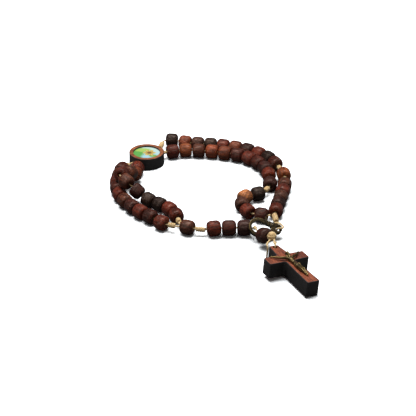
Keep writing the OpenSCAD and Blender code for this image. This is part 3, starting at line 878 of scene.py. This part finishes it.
def makeCross():
    foot, head, arm, depth = 18.48, 9.4, 8.3, 6
    holeAt, holeRadius = (-8.1, 0, depth / 2), 0.85
    outline = [(foot, -2.6), (foot, 2.6), (2.9, 1.9), (2.5, 2.5), (2.4, arm), (-2.4, arm), (-2.5, 3),
               (-3, 2.5), (-head, 1.8), (-head, -1.8), (-3, -2.5), (-2.5, -3), (-2.4, -arm), (2.4, -arm),
               (2.5, -2.5), (2.9, -1.9)]
    mesh = bpy.data.meshes.new("cross")
    mesh.from_pydata([(x, y, 0) for x, y in outline], [], [tuple(range(len(outline)))])
    cross = bpy.data.objects.new("cross_blank", mesh)
    bpy.context.collection.objects.link(cross)
    makeActive(cross)
    bpy.ops.object.mode_set(mode="EDIT")
    bpy.ops.mesh.select_all(action="SELECT")
    bpy.ops.mesh.extrude_region_move(TRANSFORM_OT_translate={"value": (0, 0, depth)})
    bpy.ops.mesh.select_all(action="SELECT")
    bpy.ops.mesh.normals_make_consistent(inside=False)
    pick(cross, "EDGE", lambda e: abs(e.verts[0].co.z - e.verts[1].co.z) > depth - 1)
    bpy.ops.mesh.bevel(offset=0.35, segments=4, profile=0.5, affect="EDGES")
    pick(cross, "EDGE", lambda e: abs(e.verts[0].co.z - e.verts[1].co.z) < 0.01)
    bpy.ops.mesh.bevel(offset=0.12, segments=2, profile=0.5, affect="EDGES")
    pick(cross, "FACE", lambda f: abs(f.normal.z) > 0.99 and len(f.verts) > 12)
    bpy.ops.mesh.inset(thickness=0.16)
    bpy.ops.object.mode_set(mode="OBJECT")
    inner = {i for f in cross.data.polygons if f.select for i in f.vertices}
    clearSelection()
    bpy.ops.mesh.primitive_cylinder_add(vertices=40, radius=holeRadius, depth=depth + 4, location=holeAt)
    drill = bpy.context.object
    charAndPaintedShade = cross.data.attributes.new("charAndPaintedShade", "FLOAT", "POINT")
    charAndPaintedShade.data.foreach_set("value", [0.0 if i in inner else 1.0 for i in range(len(cross.data.vertices))])
    applyModifier(cross, "BOOLEAN", object=drill, operation="DIFFERENCE", solver="EXACT")
    bpy.data.objects.remove(drill)
    cross.data.transform(crossPlace)
    smoothShade(cross, 30)
    return cross


crossWood = makeCutWood("cross_wood", crossPlace, Euler((0, math.radians(90), 0)).to_matrix(),
                        srgb(108, 46, 30), srgb(188, 100, 62))
finishPiece(makeCross(), "cross_wood_body", ["cross"], crossWood)
print("cross ready")


# Cast pieces: rounded solids fused into one skin

def ball(centre, radii, turn=(0, 0, 0)):
    clearSelection()
    bpy.ops.mesh.primitive_uv_sphere_add(segments=20, ring_count=12, radius=1, location=centre, rotation=turn,
                                         scale=radii if isinstance(radii, tuple) else (radii,) * 3)
    return bpy.context.object


def limb(a, b, ra, rb):
    a, b = Vector(a), Vector(b)
    clearSelection()
    bpy.ops.mesh.primitive_cone_add(vertices=20, radius1=ra, radius2=rb, depth=(b - a).length,
                                    location=(a + b) / 2, rotation=(b - a).to_track_quat("Z", "Y").to_euler())
    return [bpy.context.object, ball(a, ra), ball(b, rb)]


def fuse(parts, voxel, relax):
    piece = joinPieces(parts)
    bpy.ops.object.transform_apply(location=True, rotation=True, scale=True)
    applyModifier(piece, "REMESH", mode="VOXEL", voxel_size=voxel, adaptivity=0.0)
    applyModifier(piece, "SMOOTH", factor=0.5, iterations=relax)
    return piece


# How far each point stands out of its surroundings, for the rubbed highlights of the metal
def addWear(piece, gain):
    mesh = piece.data
    work = bmesh.new()
    work.from_mesh(mesh)
    value = {}
    for v in work.verts:
        near = [e.other_vert(v).co for e in v.link_edges]
        if near:
            middle = sum(near, Vector()) / len(near)
            value[v.index] = (v.co - middle).dot(v.normal)
    for _ in range(4):
        spread = {}
        for v in work.verts:
            around = sum(value.get(e.other_vert(v).index, 0) for e in v.link_edges)
            spread[v.index] = (value.get(v.index, 0) * 2 + around) / (2 + len(v.link_edges))
        value = spread
    work.free()
    wear = mesh.attributes.new("wear", "FLOAT", "POINT")
    wear.data.foreach_set("value", [min(1, max(0, 0.5 + gain * value.get(i, 0)))
                                    for i in range(len(mesh.vertices))])


def makeCorpus():
    base = 6.01
    parts = []
    # trunk: chest, ribs' arch, waist and hips
    parts += [ball((2.9, 0, 6.5), (1.25, 1.02, 0.72)), ball((2.35, 0.5, 6.85), (0.62, 0.5, 0.32)),
              ball((2.35, -0.5, 6.85), (0.62, 0.5, 0.32)), ball((4.3, 0, 6.45), (1.3, 0.78, 0.62)),
              ball((5.6, 0, 6.4), (1.1, 0.68, 0.58)), ball((6.4, 0, 6.4), (0.8, 0.82, 0.6))]
    for k in range(3):
        for s in (-1, 1):
            parts += limb((3.5 + 0.42 * k, s * 0.2, 7.12 - 0.07 * k),
                          (3.9 + 0.42 * k, s * 0.72, 6.78 - 0.05 * k), 0.09, 0.07)
    # neck, head, hair and beard, leaning to one side
    parts += limb((1.9, 0, 6.8), (1.0, 0.12, 7.0), 0.42, 0.38)
    parts += [ball((0.15, 0.22, 7.12), (0.82, 0.6, 0.62)), ball((-0.25, 0.22, 7.1), (0.62, 0.68, 0.62))]
    for s in (-1, 1):
        parts += limb((-0.3, 0.22 + s * 0.5, 7.05), (0.9, 0.2 + s * 0.62, 6.75), 0.28, 0.2)
    parts += [ball((0.85, 0.24, 7.3), (0.42, 0.34, 0.3)), ball((0.28, 0.24, 7.72), (0.26, 0.1, 0.13))]
    for s in (-1, 1):
        parts.append(ball((0.02, 0.24 + s * 0.22, 7.62), (0.09, 0.15, 0.1)))
    for k in range(9):
        a = math.radians(-120 + 30 * k)
        b = a + 0.5
        sway = 0.1 * math.sin(a * 3)
        parts += limb((-0.42 + sway, 0.22 + 0.72 * math.sin(a), 7.15 + 0.6 * math.cos(a)),
                      (-0.36 - sway, 0.22 + 0.72 * math.sin(b), 7.15 + 0.6 * math.cos(b)), 0.11, 0.11)
    # arms, rising off the wood in an arch, with palms
    for s in (-1, 1):
        parts += limb((2.0, s * 0.95, 6.75), (1.5, s * 2.1, 6.85), 0.46, 0.38)
        parts += limb((1.5, s * 2.1, 6.85), (0.7, s * 3.7, 6.72), 0.4, 0.28)
        parts += limb((0.7, s * 3.7, 6.72), (-0.25, s * 4.6, 6.6), 0.33, 0.28)
        parts += limb((-0.25, s * 4.6, 6.6), (-1.1, s * 5.45, 6.45), 0.28, 0.19)
        parts += [ball((-1.4, s * 5.75, 6.4), (0.3, 0.34, 0.2), (0, 0, s * 0.8)),
                  ball((-1.4, s * 5.72, 6.58), (0.09, 0.09, 0.09))]
        for k in range(3):
            parts += limb((-1.5, s * 5.8, 6.4), (-1.62 - 0.05 * k, s * (6.2 - 0.16 * k), 6.34), 0.09, 0.07)
    # cloth round the hips, with folds and a hanging end
    parts += [ball((7.3, 0, 6.45), (1.05, 0.98, 0.66)), ball((8.1, 0, 6.4), (0.9, 0.95, 0.62))]
    for k in range(6):
        y = -0.85 + 0.34 * k
        parts += limb((6.6 + 0.1 * abs(k - 2.5), y, 6.85 - 0.1 * abs(k - 2.5)),
                      (8.7 - 0.12 * abs(k - 2.5), y * 0.85 - 0.12, 6.85 - 0.1 * abs(k - 2.5)), 0.15, 0.12)
    parts += limb((6.55, -0.85, 6.75), (6.75, 0.85, 6.75), 0.17, 0.17)
    parts += limb((6.8, 0.95, 6.75), (8.9, 1.2, 6.35), 0.24, 0.16)
    # legs, one foot over the other
    for s in (-1, 1):
        parts += limb((8.2, s * 0.48, 6.5), (10.9, s * 0.46, 6.75), 0.58, 0.44)
        parts.append(ball((10.95, s * 0.46, 6.95), (0.4, 0.34, 0.28)))
        parts += limb((11.0, s * 0.44, 6.7), (12.1, s * 0.36, 6.6), 0.44, 0.4)
        parts += limb((12.1, s * 0.36, 6.6), (13.3, s * 0.2, 6.45), 0.4, 0.26)
    parts += limb((13.2, 0.12, 6.6), (14.3, 0.02, 6.35), 0.3, 0.26)
    parts += limb((13.2, -0.16, 6.4), (14.1, -0.22, 6.25), 0.3, 0.24)
    parts.append(ball((13.75, 0.02, 6.72), (0.1, 0.1, 0.1)))
    piece = fuse(parts, 0.065, 2)
    makeActive(piece)
    bpy.ops.object.mode_set(mode="EDIT")
    bpy.ops.mesh.select_all(action="SELECT")
    bpy.ops.transform.shrink_fatten(value=0.05)
    bpy.ops.transform.resize(value=(1, 1, 1.25), center_override=(0, 0, base))
    bpy.ops.mesh.bisect(plane_co=(0, 0, base), plane_no=(0, 0, 1), clear_inner=True, use_fill=True)
    bpy.ops.object.mode_set(mode="OBJECT")
    addWear(piece, 60)
    piece.data.transform(crossPlace)
    smoothShade(piece, 60)
    return piece


finishPiece(makeCorpus(), "corpus_cast", ["corpus"], brass)
print("figure ready")


# The solid's own skin, softened like a casting; thin takes a little off all round
def castCopy(node, extras=(), thin=0.0):
    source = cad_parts[node]
    copy = source.copy()
    copy.data = source.data.copy()
    bpy.context.collection.objects.link(copy)
    copy.data.transform(Matrix.Scale(metre, 4))
    copy.parent = None
    copy.matrix_world = Matrix.Identity(4)
    applyModifier(copy, "WELD", merge_threshold=0.001)
    for part in extras:
        part.matrix_world = claspPlace @ part.matrix_world
    piece = fuse([copy] + list(extras), 0.07, 4)
    if thin:
        makeActive(piece)
        bpy.ops.object.mode_set(mode="EDIT")
        bpy.ops.mesh.select_all(action="SELECT")
        bpy.ops.transform.shrink_fatten(value=-thin)
        bpy.ops.object.mode_set(mode="OBJECT")
    addWear(piece, 40)
    smoothShade(piece, 60)
    return piece


rivets = [ball((5.5, 0.9, s * 0.98), (0.55, 0.55, 0.16)) for s in (-1, 1)]
finishPiece(castCopy("clasp_body", rivets), "clasp_body_cast", ["clasp_body"], brass)
lever = castCopy("clasp_lever", thin=0.05)
finishPiece(lever, "clasp_lever_cast", ["clasp_lever"], brass, "lever")
print("clasp ready")
